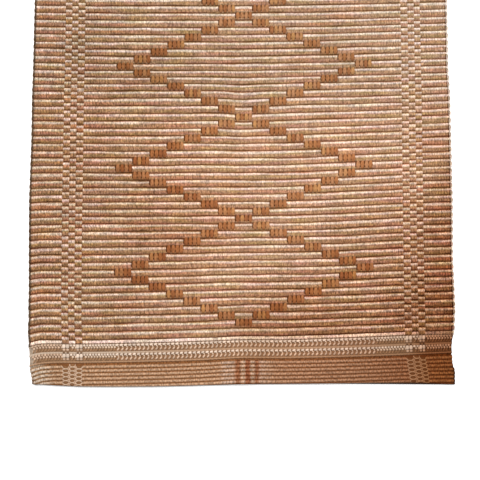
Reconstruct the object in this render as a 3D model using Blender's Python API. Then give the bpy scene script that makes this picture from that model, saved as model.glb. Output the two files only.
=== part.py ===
"""Cotton runner rug: one cloth with raised cross ribs, two heading bands and a hem at each end, lying flat."""

from collections import namedtuple

import bmesh
import bpy

MM = 0.001

# The rug's nominal width, and what repeats along its length
HALF_WIDTH = 300 * MM
RIB_PITCH = 10.6 * MM  # a cream pick and a tan pick lie together as one raised rib
DIAMOND_RIBS = 14  # ribs in one diamond of the woven pattern
DIAMONDS = 11
RIBS_PAST_THE_DIAMONDS = 4
NEAR_RIB_EXTRA = 1.0 * MM  # the first ribs after the near heading are beaten less tightly
EXTRA_KEPT_PER_RIB = 0.75

# The finish of each end, from the folded edge inwards
HEM_LENGTH = 34 * MM
HEM_RIBS = 6
HEADING_BAND_LENGTH = 13 * MM
HEADING_BANDS = 2
LONE_PICK_LENGTH = 6.3 * MM  # one cream pick between the near heading and the first whole rib

# Heights above the floor
CREAM_TOP = 5.9 * MM
TAN_TOP = 5.5 * MM
RIB_GROOVE = 4.4 * MM
HEADING_TOP = 5.1 * MM
HEADING_GROOVE = 4.3 * MM
HEM_TOP = 5.0 * MM
HEM_GROOVE = 4.4 * MM
STITCH_GROOVE = 3.3 * MM
FOLDED_EDGE_TOP = 4.2 * MM
CREASE_RISE = 0.5 * MM  # the rug was stored folded lengthwise, which leaves a soft ridge

# The selvedge and the ends are round, and the weft loops make small scallops
EDGE_INSET = 1.5 * MM
SCALLOP = 0.9 * MM
CREAM_AT = 0.72  # how far up its rib each pick's top lies
TAN_AT = 0.27

# Across the rug, in half widths: selvedge, hem corner, crease, right quarter, selvedge
COLUMNS = (-1.0, -0.83, 0.0, 0.5, 1.0)
CREASE_COLUMN = 2
UNDERSIDE, EDGE_MIDDLE, TOP = range(3)

# How the real cloth strays from a rectangle, in mm, at distances along the crease from the near hem.
# left_out and right_out move the selvedges outwards, crease moves the whole line along the rug, where the
# ribs are beaten closer, and the rest move each column against the crease.
Stray = namedtuple("Stray", "along left_out right_out left corner crease quarter right")
STRAYS = (
    Stray(0, -8.5, 0.8, 1.4, -4.2, 0, -1.4, -1.4),
    Stray(11, -5.0, 1.0, -2.0, -4.0, 0, -0.5, 0.5),
    Stray(34, -3.5, -3.5, -3.5, -3.0, 0, 2.0, 5.0),
    Stray(53, -2.0, -3.1, -5.0, -4.6, 0, 2.6, 7.5),
    Stray(74, -0.5, 0.4, -5.4, -5.2, -0.2, 2.8, 8.4),
    Stray(102, 0.0, 2.6, -4.8, -5.0, -0.9, 3.0, 9.0),
    Stray(187, 1.5, 0.7, -3.3, -3.2, -2.6, 3.4, 9.8),
    Stray(331, 0.3, 2.4, -0.2, -0.2, -4.6, 3.5, 9.8),
    Stray(459, -0.4, -1.1, 1.3, 1.5, -4.2, 3.5, 7.5),
    Stray(700, 0.6, 0.8, 0.6, 0.6, -2.0, 1.5, 3.0),
    Stray(1100, 0.0, 0.0, 0.0, 0.0, 0, 0.0, 0.0),
    Stray(1900, 0.0, 0.0, 0.0, 0.0, 0, 0.0, 0.0),
)

# One line of points across the rug: its place along the crease, its top, and how far its edges draw in
Station = namedtuple("Station", "along top draw_in")

COTTON_COLOR = (0.46, 0.27, 0.16, 1.0)
COTTON_ROUGHNESS = 0.9


def hem_stations():
    """The fine ribs of the hem, from its folded edge to the groove where it is stitched down."""
    pitch = HEM_LENGTH / HEM_RIBS
    stations = [Station(0.0, FOLDED_EDGE_TOP, 0.0)]
    for rib in range(HEM_RIBS):
        stations.append(Station((rib + 0.5) * pitch, HEM_TOP, 0.0))
        if rib < HEM_RIBS - 1:
            stations.append(Station((rib + 1) * pitch, HEM_GROOVE, SCALLOP / 2))
    stations.append(Station(HEM_LENGTH, STITCH_GROOVE, SCALLOP))
    return stations


def heading_stations():
    """The two bands of twined stitches next to the hem."""
    stations = []
    for band in range(HEADING_BANDS):
        start = HEM_LENGTH + band * HEADING_BAND_LENGTH
        stations.append(Station(start + 0.25 * HEADING_BAND_LENGTH, HEADING_TOP, 0.0))
        stations.append(Station(start + 0.75 * HEADING_BAND_LENGTH, HEADING_TOP, 0.0))
        stations.append(Station(start + HEADING_BAND_LENGTH, HEADING_GROOVE, SCALLOP))
    return stations


def end_finish():
    return hem_stations() + heading_stations()


def rib_stations(start):
    """The whole ribs, from the groove at start: a tan pick, a cream pick and the next groove each."""
    stations = []
    extra = NEAR_RIB_EXTRA
    for _ in range(DIAMOND_RIBS * DIAMONDS + RIBS_PAST_THE_DIAMONDS):
        pitch = RIB_PITCH + extra
        stations.append(Station(start + TAN_AT * pitch, TAN_TOP, 0.0))
        stations.append(Station(start + CREAM_AT * pitch, CREAM_TOP, 0.0))
        stations.append(Station(start + pitch, RIB_GROOVE, SCALLOP))
        start += pitch
        extra *= EXTRA_KEPT_PER_RIB
    return stations


def all_stations():
    """Every line of points from the near hem to the far one."""
    finish = end_finish()
    pick_start = finish[-1].along
    lone_pick = [
        Station(pick_start + 0.5 * LONE_PICK_LENGTH, CREAM_TOP, 0.0),
        Station(pick_start + LONE_PICK_LENGTH, RIB_GROOVE, SCALLOP),
    ]
    ribs = rib_stations(lone_pick[-1].along)
    length = ribs[-1].along + pick_start
    # The last rib's own groove is the first of the far heading
    far_end = [Station(length - s.along, s.top, s.draw_in) for s in reversed(finish[:-1])]
    return finish + lone_pick + ribs + far_end


def stray_at(along):
    """The stray of the cloth at a distance from the near hem, between the two nearest rows of STRAYS."""
    before = max((row for row in STRAYS if row.along * MM <= along), key=lambda row: row.along)
    after = min((row for row in STRAYS if row.along * MM > along), key=lambda row: row.along)
    share = (along / MM - before.along) / (after.along - before.along)
    return Stray(*(MM * (a + share * (b - a)) for a, b in zip(before, after, strict=True)))


def across(column, stray):
    """Where a column lies across the rug, between the two selvedges of that station."""
    left = -HALF_WIDTH - stray.left_out
    right = HALF_WIDTH + stray.right_out
    return left + (right - left) * (COLUMNS[column] + 1) / 2


def inset_of(layer, station):
    """How far the rim of a layer stands in from the widest line of the selvedge."""
    if layer == EDGE_MIDDLE:
        return station.draw_in
    return EDGE_INSET + station.draw_in


def height_of(layer, column, station):
    if layer == UNDERSIDE:
        return 0.0
    if layer == EDGE_MIDDLE:
        return 0.5 * station.top
    return station.top + (CREASE_RISE if column == CREASE_COLUMN else 0.0)


def place(column, row, layer, stations):
    """The real position of one point of the lattice."""
    station = stations[row]
    stray = stray_at(station.along)
    x = across(column, stray)
    y = station.along + stray.crease
    if column != CREASE_COLUMN:
        y += stray[Stray._fields.index("left") + column]
    inset = inset_of(layer, station)
    if column == 0:
        x += inset
    if column == len(COLUMNS) - 1:
        x -= inset
    if layer != EDGE_MIDDLE and row == 0:
        y += EDGE_INSET
    if layer != EDGE_MIDDLE and row == len(stations) - 1:
        y -= EDGE_INSET
    return x, y, height_of(layer, column, station)


def block_lattice(columns, rows):
    """A closed slab whose points carry their column, row and layer as x, y and z."""
    slab = bmesh.new()
    bmesh.ops.create_grid(slab, x_segments=columns - 1, y_segments=rows - 1, size=1.0)
    for point in slab.verts:
        point.co.x = round((point.co.x + 1) / 2 * (columns - 1))
        point.co.y = round((point.co.y + 1) / 2 * (rows - 1))
    raised = bmesh.ops.extrude_face_region(slab, geom=slab.faces[:])["geom"]
    for item in raised:
        if isinstance(item, bmesh.types.BMVert):
            item.co.z = TOP
    upright = [edge for edge in slab.edges if edge.verts[0].co.z != edge.verts[1].co.z]
    bmesh.ops.subdivide_edges(slab, edges=upright, cuts=1, use_grid_fill=True)
    return slab


def centre_on_floor(cloth):
    """Moves the cloth so that the middle of its outline is the origin and its underside is the floor."""
    for axis in (0, 1):
        low = min(point.co[axis] for point in cloth.verts)
        high = max(point.co[axis] for point in cloth.verts)
        for point in cloth.verts:
            point.co[axis] -= (low + high) / 2


def build_cloth():
    stations = all_stations()
    cloth = block_lattice(len(COLUMNS), len(stations))
    for point in cloth.verts:
        column, row, layer = (round(value) for value in point.co)
        point.co = place(column, row, layer, stations)
    centre_on_floor(cloth)
    bmesh.ops.recalc_face_normals(cloth, faces=cloth.faces[:])
    mesh = bpy.data.meshes.new("runner_cloth")
    cloth.to_mesh(mesh)
    cloth.free()
    return bpy.data.objects.new("runner_cloth", mesh)


def cotton():
    """Undyed and tan cotton yarn, seen from a step away as one warm brown."""
    material = bpy.data.materials.new("ribbed_cotton")
    material.use_nodes = True
    surface = material.node_tree.nodes["Principled BSDF"]
    surface.inputs["Base Color"].default_value = COTTON_COLOR
    surface.inputs["Roughness"].default_value = COTTON_ROUGHNESS
    surface.inputs["Metallic"].default_value = 0.0
    return material


def clear_scene():
    for thing in list(bpy.data.objects):
        bpy.data.objects.remove(thing, do_unlink=True)


def main():
    clear_scene()
    rug = bpy.data.collections.new("cotton_runner_rug")
    bpy.context.scene.collection.children.link(rug)
    cloth = build_cloth()
    cloth.data.materials.append(cotton())
    rug.objects.link(cloth)


main()
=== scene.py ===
# %% [markdown]
# # A ribbed cotton runner rug
# The imported model gives the rug's size and its place on the floor. It is loaded first and never changed.
# Everything below is measured in that same frame: +X runs across the rug, +Y along it, away from the near
# hem, and +Z up from the floor. The box of the solid is kept.

# %% Load the frame
import math
import random
from bisect import bisect_right
from collections import namedtuple

import bmesh
import bpy
from mathutils import Matrix, Vector


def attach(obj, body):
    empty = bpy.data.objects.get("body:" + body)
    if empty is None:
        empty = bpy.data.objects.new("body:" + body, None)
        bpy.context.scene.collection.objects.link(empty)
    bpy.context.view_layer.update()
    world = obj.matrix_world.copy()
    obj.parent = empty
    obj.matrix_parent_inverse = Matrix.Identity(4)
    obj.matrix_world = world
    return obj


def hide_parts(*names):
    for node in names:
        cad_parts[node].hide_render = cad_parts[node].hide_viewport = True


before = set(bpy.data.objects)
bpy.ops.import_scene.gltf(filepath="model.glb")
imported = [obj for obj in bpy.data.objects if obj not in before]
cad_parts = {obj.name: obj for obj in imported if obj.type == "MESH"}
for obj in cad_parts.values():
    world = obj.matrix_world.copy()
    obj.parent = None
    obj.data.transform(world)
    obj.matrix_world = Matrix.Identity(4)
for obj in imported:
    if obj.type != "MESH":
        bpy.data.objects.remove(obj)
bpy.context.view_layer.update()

# %% [markdown]
# ## The camera
# The photo looks almost straight down on the near end of the rug, with the camera leaning back by only a
# few degrees. A lens with a 32 degree view stands where one pixel is 1.43 mm of cloth, so that ribs and
# stripes fall on the same pixels as in the photo.

# %% Camera above the near end
MM = 0.001
LEAN = math.radians(4)
FIELD_OF_VIEW = math.radians(32)
DISTANCE = 1.1957
LOOKED_AT = Vector((-0.0016, -0.6986, 0.005))

lens = bpy.data.cameras.new("camera")
lens.sensor_width = 36
lens.lens = lens.sensor_width / 2 / math.tan(FIELD_OF_VIEW / 2)
camera = bpy.data.objects.new("camera", lens)
bpy.context.scene.collection.objects.link(camera)
camera.location = LOOKED_AT + DISTANCE * Vector((0, -math.sin(LEAN), math.cos(LEAN)))
camera.rotation_euler = (LEAN, 0, 0)
bpy.context.scene.camera = camera
print("lens", round(lens.lens, 1), "mm, height", round(camera.location.z, 3), "m")

# %% [markdown]
# ## Where the picks lie
# A warp-faced rep is woven with one pick of cream yarn and one of tan in turn. The two lie together as
# one raised rib, with a dark groove before the next. The rug is set out as a weaver would write it down:
# distances along it in millimetres from the near folded edge. The first ribs are beaten a little less
# tightly.

# %% Ribs along the rug
HEM = 34.0
STITCH_LINE = 31.65  # the near side of the groove where the hem is stitched down
HEM_RIB, HEM_RIBS = 5.5, 8  # the fold cuts across the last fine ribs at a slant
HEM_START = STITCH_LINE - HEM_RIBS * HEM_RIB
FINISH = 60.0  # hem and heading together
LONE_PICK = 6.3  # one cream pick before the first whole rib
RIB = 10.6
RIBS = 158
FIRST_RIB_EXTRA, EXTRA_KEPT = 1.0, 0.75  # its extra length, and the share of it that the next rib keeps


def rib_starts():
    """Where each whole rib begins, and where the last one ends."""
    starts, extra = [FINISH + LONE_PICK], FIRST_RIB_EXTRA
    for _ in range(RIBS):
        starts.append(starts[-1] + RIB + extra)
        extra *= EXTRA_KEPT
    return starts


STARTS = rib_starts()
LENGTH = STARTS[-1] + FINISH


def along_of(rib):
    """Millimetres along the rug of a place counted in ribs, such as 3.5 for the middle of the fourth."""
    whole = min(max(math.floor(rib), 0), RIBS - 1)
    return STARTS[whole] + (rib - whole) * (STARTS[whole + 1] - STARTS[whole])


def rib_at(along):
    """The same place counted in ribs."""
    whole = min(max(bisect_right(STARTS, along) - 1, 0), RIBS - 1)
    if along < STARTS[0]:
        return (along - STARTS[0]) / RIB
    return whole + (along - STARTS[whole]) / (STARTS[whole + 1] - STARTS[whole])


print("length along the crease", round(LENGTH, 1), "mm")

# %% [markdown]
# ## Where the warp strands lie
# Across the rug the warp is set out in zones. Margins and borders are close set, and the wide middle,
# which carries the diamonds, is set in strands of 6 mm. Next to each margin are three narrow stripes. In
# the outer two the cream and tan warps change places, so cream shows where the rest is tan, and makes the
# small checks.

# %% Zones across the rug
HALF_WIDTH = 300.0
Zone = namedtuple("Zone", "start strands swapped")
ZONES = (
    Zone(-HALF_WIDTH, 11, 0),
    Zone(-255.1, 2, 1),
    Zone(-245.3, 2, 0),
    Zone(-236.5, 2, 1),
    Zone(-226.5, 11, 0),
    Zone(-180.7, 60, 0),
    Zone(187.6, 10, 0),
    Zone(230.7, 2, 1),
    Zone(240.7, 2, 0),
    Zone(250.1, 2, 1),
    Zone(259.2, 10, 0),
    Zone(HALF_WIDTH, 0, 0),
)
ZONE_STARTS = [zone.start for zone in ZONES]
MIDDLE_ZONE = 5
BLOCKS, BLOCK_STRANDS = 15, 4  # steps of the diamond across the wide middle zone, and the strands in each
MIDDLE_START = ZONES[MIDDLE_ZONE].start
BLOCK = (ZONES[MIDDLE_ZONE + 1].start - MIDDLE_START) / BLOCKS


def zone_at(across):
    return min(max(bisect_right(ZONE_STARTS, across) - 1, 0), len(ZONES) - 2)


def strand_at(across, zone):
    """A place across the rug, counted in strands from the left selvedge."""
    before = sum(z.strands for z in ZONES[:zone])
    here = ZONES[zone]
    return before + here.strands * (across - here.start) / (ZONES[zone + 1].start - here.start)


STRANDS = sum(zone.strands for zone in ZONES)
print("strands", STRANDS, "block", round(BLOCK, 2), "mm")

# %% [markdown]
# ## How the cloth lies
# A real rug is never a true rectangle. Its selvedges draw in at the heading, the corners are cut in, and
# the ribs rise to the right and dip at the crease, where the rug was stored folded lengthwise. Three
# tables say how far each part strays, in millimetres. They fade out towards the far end. Each piece is
# first made flat and true, in millimetres, and then laid down with these tables. So whatever sits on the
# cloth follows it.

# %% How far the selvedges and check stripes drift sideways
Drift = namedtuple("Drift", "along left_edge left_checks right_checks right_edge")
DRIFTS = (
    Drift(-5, 4.2, 2.1, 9.2, 3.4),
    Drift(7, 2.8, 2.3, 7.8, 3.0),
    Drift(13, 1.6, 2.4, 6.8, 3.4),
    Drift(18, -0.2, 2.5, 5.9, 3.0),
    Drift(24, -0.9, 2.6, 4.9, 0.8),
    Drift(30, -0.5, 2.8, 4.1, -0.2),
    Drift(43, -1.5, 2.7, 2.8, -0.1),
    Drift(50, -2.3, 2.4, 2.4, -0.4),
    Drift(58, -1.2, 2.0, 2.0, 0.3),
    Drift(65, -2.8, 1.4, 1.9, 2.0),
    Drift(80, -2.9, 0.6, 1.9, 3.1),
    Drift(90, -2.2, 0.2, 1.6, 3.6),
    Drift(106, -3.0, 0.0, 1.4, 4.6),
    Drift(130, -2.7, -0.4, 1.3, 3.8),
    Drift(180, -3.6, -0.7, 1.3, 2.4),
    Drift(260, -4.6, -0.7, 1.3, 3.5),
    Drift(345, -2.9, -0.6, 1.5, 2.8),
    Drift(412, -3.0, -0.6, 1.9, 2.4),
    Drift(452, -2.2, 0.2, 2.1, 0.4),
    Drift(700, -0.6, -0.3, 0.6, 0.8),
    Drift(1100, 0.0, 0.0, 0.0, 0.0),
    Drift(1900, 0.0, 0.0, 0.0, 0.0),
)
DRIFT_PLACES = (-300, -240, 0, 245, 300)

# %% How far the ribs stray along the rug
# Some stretches are beaten closer than others, which moves whole ribs
BEATING = (
    (0, 0.0), (60, 0.0), (74, -0.2), (102, -0.9), (187, -2.6), (280, -3.9), (331, -4.6),
    (380, -5.2), (424, -3.4), (459, -4.2), (700, -2.0), (1100, 0.0), (1900, 0.0),
)

# Across the rug a rib is bowed, by so much at each of these places
BOW_PLACES = (-300, -285, -265, -225, -120, -60, -25, 0, 25, 60, 120, 185, 240, 300)
BOWS = (
    (-13, -13.5, -8.4, -6.8, -7.1, -4.9, -2.9, -1.1, 0.1, 0.2, 0.5, 2.0, 4.4, 6.7, 6.8),
    (29, -14.0, -8.9, -7.1, -6.9, -5.2, -3.2, -1.2, 0, 0, -0.2, 0.9, 2.9, 5.0, 6.8),
    (35, -12.6, -8.5, -6.8, -6.7, -4.8, -3.0, -1.2, 0, 0, -0.1, 1.0, 2.8, 5.0, 7.6),
    (64, -10.4, -6.3, -6.0, -6.4, -4.4, -2.7, -1.4, -0.4, -0.4, -0.5, 1.5, 3.9, 6.2, 7.6),
    (107, -8.8, -5.4, -5.4, -5.7, -3.7, -2.1, -1.0, 0, 0.1, 0.1, 1.8, 4.1, 6.6, 8.2),
    (150, -8.0, -5.0, -4.9, -4.8, -3.1, -1.6, -0.6, 0, 0.3, 0.7, 1.4, 4.2, 6.5, 8.3),
    (192, -5.4, -3.5, -3.3, -3.1, -2.1, -1.0, -0.3, 0, 0.4, 0.9, 1.8, 5.0, 7.3, 9.1),
    (233, -3.2, -1.5, -1.2, -0.9, -0.3, 0.0, 0.0, 0, 0.4, 0.8, 2.7, 5.8, 8.3, 9.7),
    (296, -2.0, -1.0, -0.8, -0.6, -0.7, 0.2, 0.4, 0, 0.3, 0.6, 2.5, 5.3, 7.8, 10.3),
    (337, 0.4, 0.9, 0.7, 0.6, 0.1, 0.9, 0.8, 0, 0.4, 0.8, 3.4, 5.9, 7.9, 10.3),
    (380, 2.0, 2.2, 2.1, 2.0, 1.8, 2.3, 1.9, 0, 1.5, 2.6, 4.7, 6.4, 8.3, 11.0),
    (424, 0.9, 1.0, 0.9, 1.5, 2.3, 2.4, 1.9, 0, 1.3, 2.2, 3.6, 4.9, 6.3, 8.6),
    (459, 1.7, 1.7, 1.3, 0.6, 0.0, 0.2, 0.2, 0, 0.6, 1.2, 2.3, 4.4, 6.2, 8.0),
    (700, 0.6, 0.6, 0.6, 0.6, 0.4, 0.3, 0.1, 0, 0.1, 0.3, 0.8, 1.5, 2.2, 3.2),
    (1100,) + (0,) * 14,
    (1900,) + (0,) * 14,
)

# %% Lay a point of the flat rug down
MIDDLE_ALONG = 900.45  # where the frame's origin lies along the rug


def between(low, high, share):
    return low + (high - low) * share


def smooth_row(places, values, here):
    """The value at a place between two known ones, on a smooth curve through its neighbours."""
    i = min(max(bisect_right(places, here) - 1, 0), len(places) - 2)
    step = places[i + 1] - places[i]
    t = (here - places[i]) / step

    def slope(k):
        a, b = max(k - 1, 0), min(k + 1, len(places) - 1)
        return (values[b] - values[a]) / (places[b] - places[a]) * step

    if not 0 <= t <= 1:
        return values[i] + t * (values[i + 1] - values[i])
    s = t * t * (3 - 2 * t)
    start, end = slope(i) * t * (1 - t) ** 2, slope(i + 1) * t * t * (1 - t)
    return between(values[i], values[i + 1], s) + start - end


def table_at(table, along):
    """The two rows of a table on either side of a place along the rug, and how far it is between them."""
    i = min(max(bisect_right([row[0] for row in table], along) - 1, 0), len(table) - 2)
    return table[i], table[i + 1], (along - table[i][0]) / (table[i + 1][0] - table[i][0])


def laid(across, along, height):
    """The place on the floor, in metres, of a point of the true flat rug in millimetres."""
    low, high, share = table_at(BOWS, along)
    bow = between(*(smooth_row(BOW_PLACES, row[1:], across) for row in (low, high)), share)
    low, high, share = table_at(BEATING, along)
    y = along + bow + between(low[1], high[1], share)
    low, high, share = table_at(DRIFTS, y)
    left, left_checks, right_checks, right = (between(a, b, share) for a, b in zip(low[1:], high[1:]))
    shifts = (left, left_checks, 0.0, right_checks, right)
    i = min(max(bisect_right(DRIFT_PLACES, across) - 1, 0), len(DRIFT_PLACES) - 2)
    t = (across - DRIFT_PLACES[i]) / (DRIFT_PLACES[i + 1] - DRIFT_PLACES[i])
    x = across + between(shifts[i], shifts[i + 1], min(max(t, 0), 1))
    return Vector((x * MM, (y - MIDDLE_ALONG) * MM, height * MM))


# %% Where the hem is turned under
FOLDS = (10.4, 5.5, 2.6, 1.1, -0.8, -1.3, -2.2, -2.6, -2.5, -2.5, -3.4, -4.8, -7.0, -9.7)  # at BOW_PLACES


def fold_at(across, along):
    """Where a hem was turned under, counted from its end. The far one isn't seen, and is straight."""
    if along >= LENGTH / 2:
        return 0.0
    return smooth_row(BOW_PLACES, FOLDS, min(max(across, -HALF_WIDTH), HALF_WIDTH))


print("near left corner", [round(v, 4) for v in laid(-HALF_WIDTH, fold_at(-HALF_WIDTH, 0), 0)])

# %% [markdown]
# ## The ribs' section
# Cut along its length, the cloth is a row of round ribs. Each rib has a tan pick on its near side and a
# slightly higher cream pick on its far side, almost without a valley between. The hem has eight fine
# ribs, which the fold cuts at a slant, and ends in the groove where it is stitched down. Each line of
# points across the cloth needs a place along the rug, its height, and its height in the swapped stripes,
# where the pattern runs half a rib ahead.

# %% Lines of points along the rug
# least is how far a line stays from the fold
Line = namedtuple("Line", "along height swapped_height cream least")
RIB_SECTION = (  # share of the rib, height
    (0.0, 3.7), (0.10, 4.9), (0.24, 5.45), (0.38, 5.5),
    (0.5, 5.35), (0.62, 5.75), (0.76, 5.95), (0.90, 5.2),
)
LONE_PICK_SECTION = ((1.5, 5.3, 5.0), (3.4, 5.9, 5.4), (5.2, 5.2, 5.5))  # place, height, swapped height
HEM_SECTION = ((0.0, 3.9), (0.25, 4.7), (0.5, 5.05), (0.75, 4.7))
HEADING_SECTION = (
    (34.9, 4.5), (36.1, 3.9), (38.5, 3.8), (41.5, 3.8), (44.5, 3.8), (46.9, 3.9),
    (48.2, 4.7), (49.5, 3.9), (51.5, 3.8), (54.5, 3.8), (57.5, 3.8), (59.8, 4.7),
)
STITCH_GROOVE = ((STITCH_LINE, 3.9), (32.2, 3.1), (33.7, 3.1))
FOLD = ((0.0, 2.3), (0.3, 3.3), (0.9, 4.3))  # millimetres from the folded edge, height


def finish_lines():
    """Hem and heading, from the folded edge inwards."""
    lines = [Line(HEM_START - 2 + least, height, height, 0, least) for least, height in FOLD]
    half = len(HEM_SECTION) // 2
    for rib in range(HEM_RIBS):
        for i, (phase, height) in enumerate(HEM_SECTION):
            swapped = HEM_SECTION[(i + half) % len(HEM_SECTION)][1]
            lines.append(Line(HEM_START + (rib + phase) * HEM_RIB, height, swapped, 0, FOLD[-1][0]))
    lines += [Line(along, height, height, 0, 0) for along, height in STITCH_GROOVE + HEADING_SECTION]
    return lines


def pick_lines():
    """The lone cream pick, all whole ribs and the groove after the last one."""
    lines = [Line(FINISH + at, height, swapped, 1, 0) for at, height, swapped in LONE_PICK_SECTION]
    half = len(RIB_SECTION) // 2
    for rib in range(RIBS):
        for i, (phase, height) in enumerate(RIB_SECTION):
            swapped = RIB_SECTION[(i + half) % len(RIB_SECTION)][1]
            lines.append(Line(along_of(rib + phase), height, swapped, float(phase > 0.5), 0))
    lines.append(Line(STARTS[-1], RIB_SECTION[0][1], RIB_SECTION[half][1], 0, 0))
    return lines


near = finish_lines()
far = [line._replace(along=LENGTH - line.along) for line in reversed(near)]
LINES = near + pick_lines() + far
print("lines of points", len(LINES))

# %% [markdown]
# ## Columns of points
# Across the rug the points stand where something changes: close together at the round selvedges, in pairs
# at each stripe where the picks change places, and at the sides of each block of the diamonds. The
# columns then run back along the underside, which stays plain, so the cloth can be one closed sleeve of
# even faces.

# %% Columns of points across the rug
Column = namedtuple("Column", "across top swapped")
SELVEDGE_STEPS = (0.0, 0.7, 2.2, 4.5, 8.0)
SWAP_GAP = 0.35  # half the distance between the two points at the side of a stripe
CREASE_BLOCKS = range(5, 10)  # these have points in their middle too, so that the crease is smooth
UNDERSIDE_PLACES = (298.4, 240, 120, 0, -120, -240, -298.4)


def top_places():
    """Where the points on top stand, from the left selvedge to the right one."""
    places = [-HALF_WIDTH + step for step in SELVEDGE_STEPS] + [-283.0, -268.0]
    for zone in ZONES[1:MIDDLE_ZONE]:
        places += [zone.start - SWAP_GAP, zone.start + SWAP_GAP]
    places.append(-202.0)
    for block in range(BLOCKS + 1):
        places.append(MIDDLE_START + block * BLOCK)
        if block in CREASE_BLOCKS:
            places.append(MIDDLE_START + (block + 0.5) * BLOCK)
    places.append(210.0)
    for zone in ZONES[MIDDLE_ZONE + 2:-1]:
        places += [zone.start - SWAP_GAP, zone.start + SWAP_GAP]
    return places + [275.0] + [HALF_WIDTH - step for step in reversed(SELVEDGE_STEPS)]


COLUMNS = [Column(place, True, ZONES[zone_at(place)].swapped) for place in top_places()]
COLUMNS += [Column(place, False, 0) for place in UNDERSIDE_PLACES]
print("columns", len(COLUMNS), "faces", len(COLUMNS) * (len(LINES) - 1))

# %% Where a column and a line cross
TAN_ROUND, CREAM_ROUND = 7.5, 3.6  # radii of the selvedge: cream picks run further out than tan ones
THINNEST = 0.38  # share of its height that the cloth keeps at the selvedge itself
GROOVED_BELOW, FULL_GROOVE = 5.0, 1.3  # the height where a groove begins, and the depth of a full one
SCALLOP = 0.9  # how far the selvedge draws in at a full groove
FOLD_CLEARANCE = 0.35
CREASE_AT, CREASE_WIDTH, CREASE_RISE = 2, 16, 0.9


def roundness(across, cream):
    """How much of its full height the cloth keeps near a selvedge."""
    from_edge = HALF_WIDTH - abs(across)
    radius = between(TAN_ROUND, CREAM_ROUND, cream)
    if from_edge >= radius:
        return 1.0
    return max(THINNEST, math.sqrt(1 - (1 - from_edge / radius) ** 2))


def underside_height(from_fold, grooved):
    """The underside rounds up to the folded edge, and is shallowly ribbed elsewhere."""
    return max(0.0, 2.0 - from_fold * 1.6) if from_fold < 1.3 else 0.35 * grooved


def point_of(column, line):
    """One point of the sleeve on the true flat rug. Lines past the fold draw back to it."""
    fold = fold_at(column.across, line.along)
    from_fold = min(line.along, LENGTH - line.along) - fold
    if drawn_back := from_fold < line.least + FOLD_CLEARANCE:
        from_fold = line.least
    along = fold + from_fold if line.along < LENGTH / 2 else LENGTH - fold - from_fold
    height = line.swapped_height if column.swapped else line.height
    if drawn_back and line.least == FOLD[-1][0]:
        height = FOLD[-1][1]
    grooved = max(0.0, GROOVED_BELOW - height) / FULL_GROOVE
    inset = SCALLOP * grooved if abs(column.across) > HALF_WIDTH - 3 else 0.0
    across = column.across - math.copysign(inset, column.across)
    if not column.top:
        return across, along, underside_height(from_fold, grooved)
    crease = CREASE_RISE * math.exp(-((column.across - CREASE_AT) / CREASE_WIDTH) ** 2)
    return across, along, height * roundness(column.across, line.cream) + crease


# %% [markdown]
# ## The woven cloth
# A plane grid of faces is the easiest start for cloth: every point knows its column and line. Here the
# grid is rolled into a flat sleeve by placing each point, its two long borders are merged, and the ends
# are closed along the folded edges. Where the diamonds float over the ribs, the cream pick dips, so these
# faces are inset and pressed down.

# %% Roll the grid into a sleeve
cloth = bmesh.new()
bmesh.ops.create_grid(cloth, x_segments=len(COLUMNS), y_segments=len(LINES) - 1, size=1.0)
cells = {}
for point in cloth.verts:
    point.co.x = round((point.co.x + 1) / 2 * len(COLUMNS))
    point.co.y = round((point.co.y + 1) / 2 * (len(LINES) - 1))
for face in cloth.faces:
    low = (min(point.co.x for point in face.verts), min(point.co.y for point in face.verts))
    cells[int(low[0]), int(low[1])] = face
for point in cloth.verts:
    column, line = int(point.co.x) % len(COLUMNS), int(point.co.y)
    point.co = point_of(COLUMNS[column], LINES[line])
print("cells", len(cells))

# %% [markdown]
# ### Which blocks make the diamonds
# The pattern is one zigzag and its mirror image. From a tip in the middle the blocks step outwards by one
# block in each rib, seven times, and then back. So the distance from the middle is a triangle wave of the
# rib number.

# %% The diamonds' blocks
DIAMOND = 14
FIRST_TIP = 1  # the second whole rib holds the nearest tip
MIDDLE_BLOCK = BLOCKS // 2


def diamond_blocks():
    """The rib and the block of each step of the diamonds."""
    blocks = []
    for rib in range(FIRST_TIP, RIBS - 2):
        out = DIAMOND // 2 - abs((rib - FIRST_TIP) % DIAMOND - DIAMOND // 2)
        blocks.append((rib, MIDDLE_BLOCK + out))
        if out:
            blocks.append((rib, MIDDLE_BLOCK - out))
    return blocks


FLOATS = diamond_blocks()
print("diamond blocks", len(FLOATS), "tips at ribs", [r for r, b in FLOATS if b == MIDDLE_BLOCK][:4])

# %% Press the cream picks down under the blocks
column_of = {round(c.across, 3): i for i, c in enumerate(COLUMNS) if c.top}
first_rib_line = len(near) + len(LONE_PICK_SECTION)
PIT_STEPS = range(2, len(RIB_SECTION))  # the faces that a block covers, counted along its rib
PIT_INSET, PIT_FLOOR = 0.8, 3.9
pits = []
for rib, block in FLOATS:
    left = column_of[round(MIDDLE_START + block * BLOCK, 3)]
    right = column_of[round(MIDDLE_START + (block + 1) * BLOCK, 3)]
    start = first_rib_line + rib * len(RIB_SECTION)
    pits += [cells[column, start + step] for column in range(left, right) for step in PIT_STEPS]
rim = set(bmesh.ops.inset_region(cloth, faces=pits, thickness=PIT_INSET, use_even_offset=True)["faces"])
pressed = rim | set(pits)
for edge in {edge for face in rim for edge in face.edges}:
    edge.smooth = all(face in pressed for face in edge.link_faces)
for point in {point for face in pits for point in face.verts}:
    point.co.z = PIT_FLOOR
print("pit faces", len(pits), "rim faces", len(rim))

# %% [markdown]
# ### A map that counts strands and picks
# The pattern of a weave follows its yarns, not the floor. So the cloth gets a UV map that counts strands
# across and ribs along. In the swapped stripes the count runs half a rib ahead, which is all that a check
# needs.

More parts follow.
